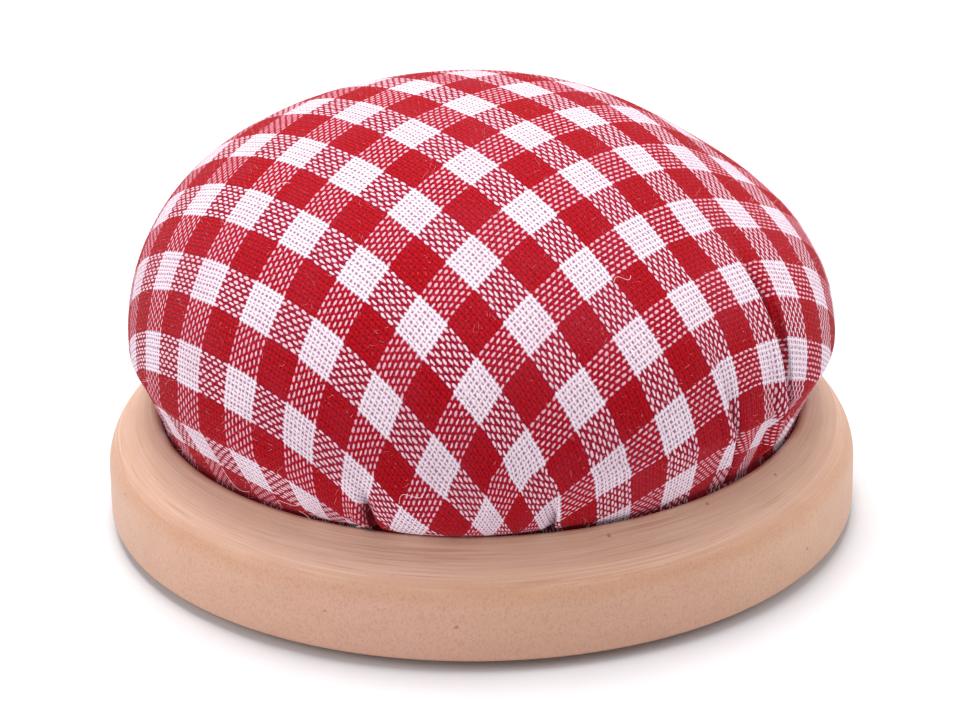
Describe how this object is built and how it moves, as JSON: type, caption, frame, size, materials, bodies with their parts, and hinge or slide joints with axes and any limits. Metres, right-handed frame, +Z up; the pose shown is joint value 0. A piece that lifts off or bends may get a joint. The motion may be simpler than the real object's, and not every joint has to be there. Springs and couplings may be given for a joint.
{
  "type": "pin cushion",
  "caption": "Domed gingham-covered pin cushion seated in a round turned wooden base that stands on a felt pad.",
  "frame": {"origin": "centre of the felt pad's underside, on the table", "axes": "+Z up through the crown of the cushion; +X to the viewer's right and -Y towards the viewer in the usual front view"},
  "size_m": [0.08, 0.08, 0.046],
  "materials": {
    "turned_wood": "sanded, unvarnished",
    "felt": "pressed wool felt",
    "screw_steel": "zinc plated",
    "plywood": "sawn",
    "fibre_filling": "loose fibre",
    "calico": "plain weave",
    "gingham": "plain weave check",
    "sewing_thread": "twisted cotton"
  },
  "bodies": {
    "root": {"wooden_base": "turned_wood", "felt_pad": "felt", "fixing_screw": "screw_steel", "backing_disc": "plywood", "stuffing": "fibre_filling", "inner_bag": "calico", "gingham_cover": "gingham", "gathering_thread": "sewing_thread"}
  },
  "joints": []
}
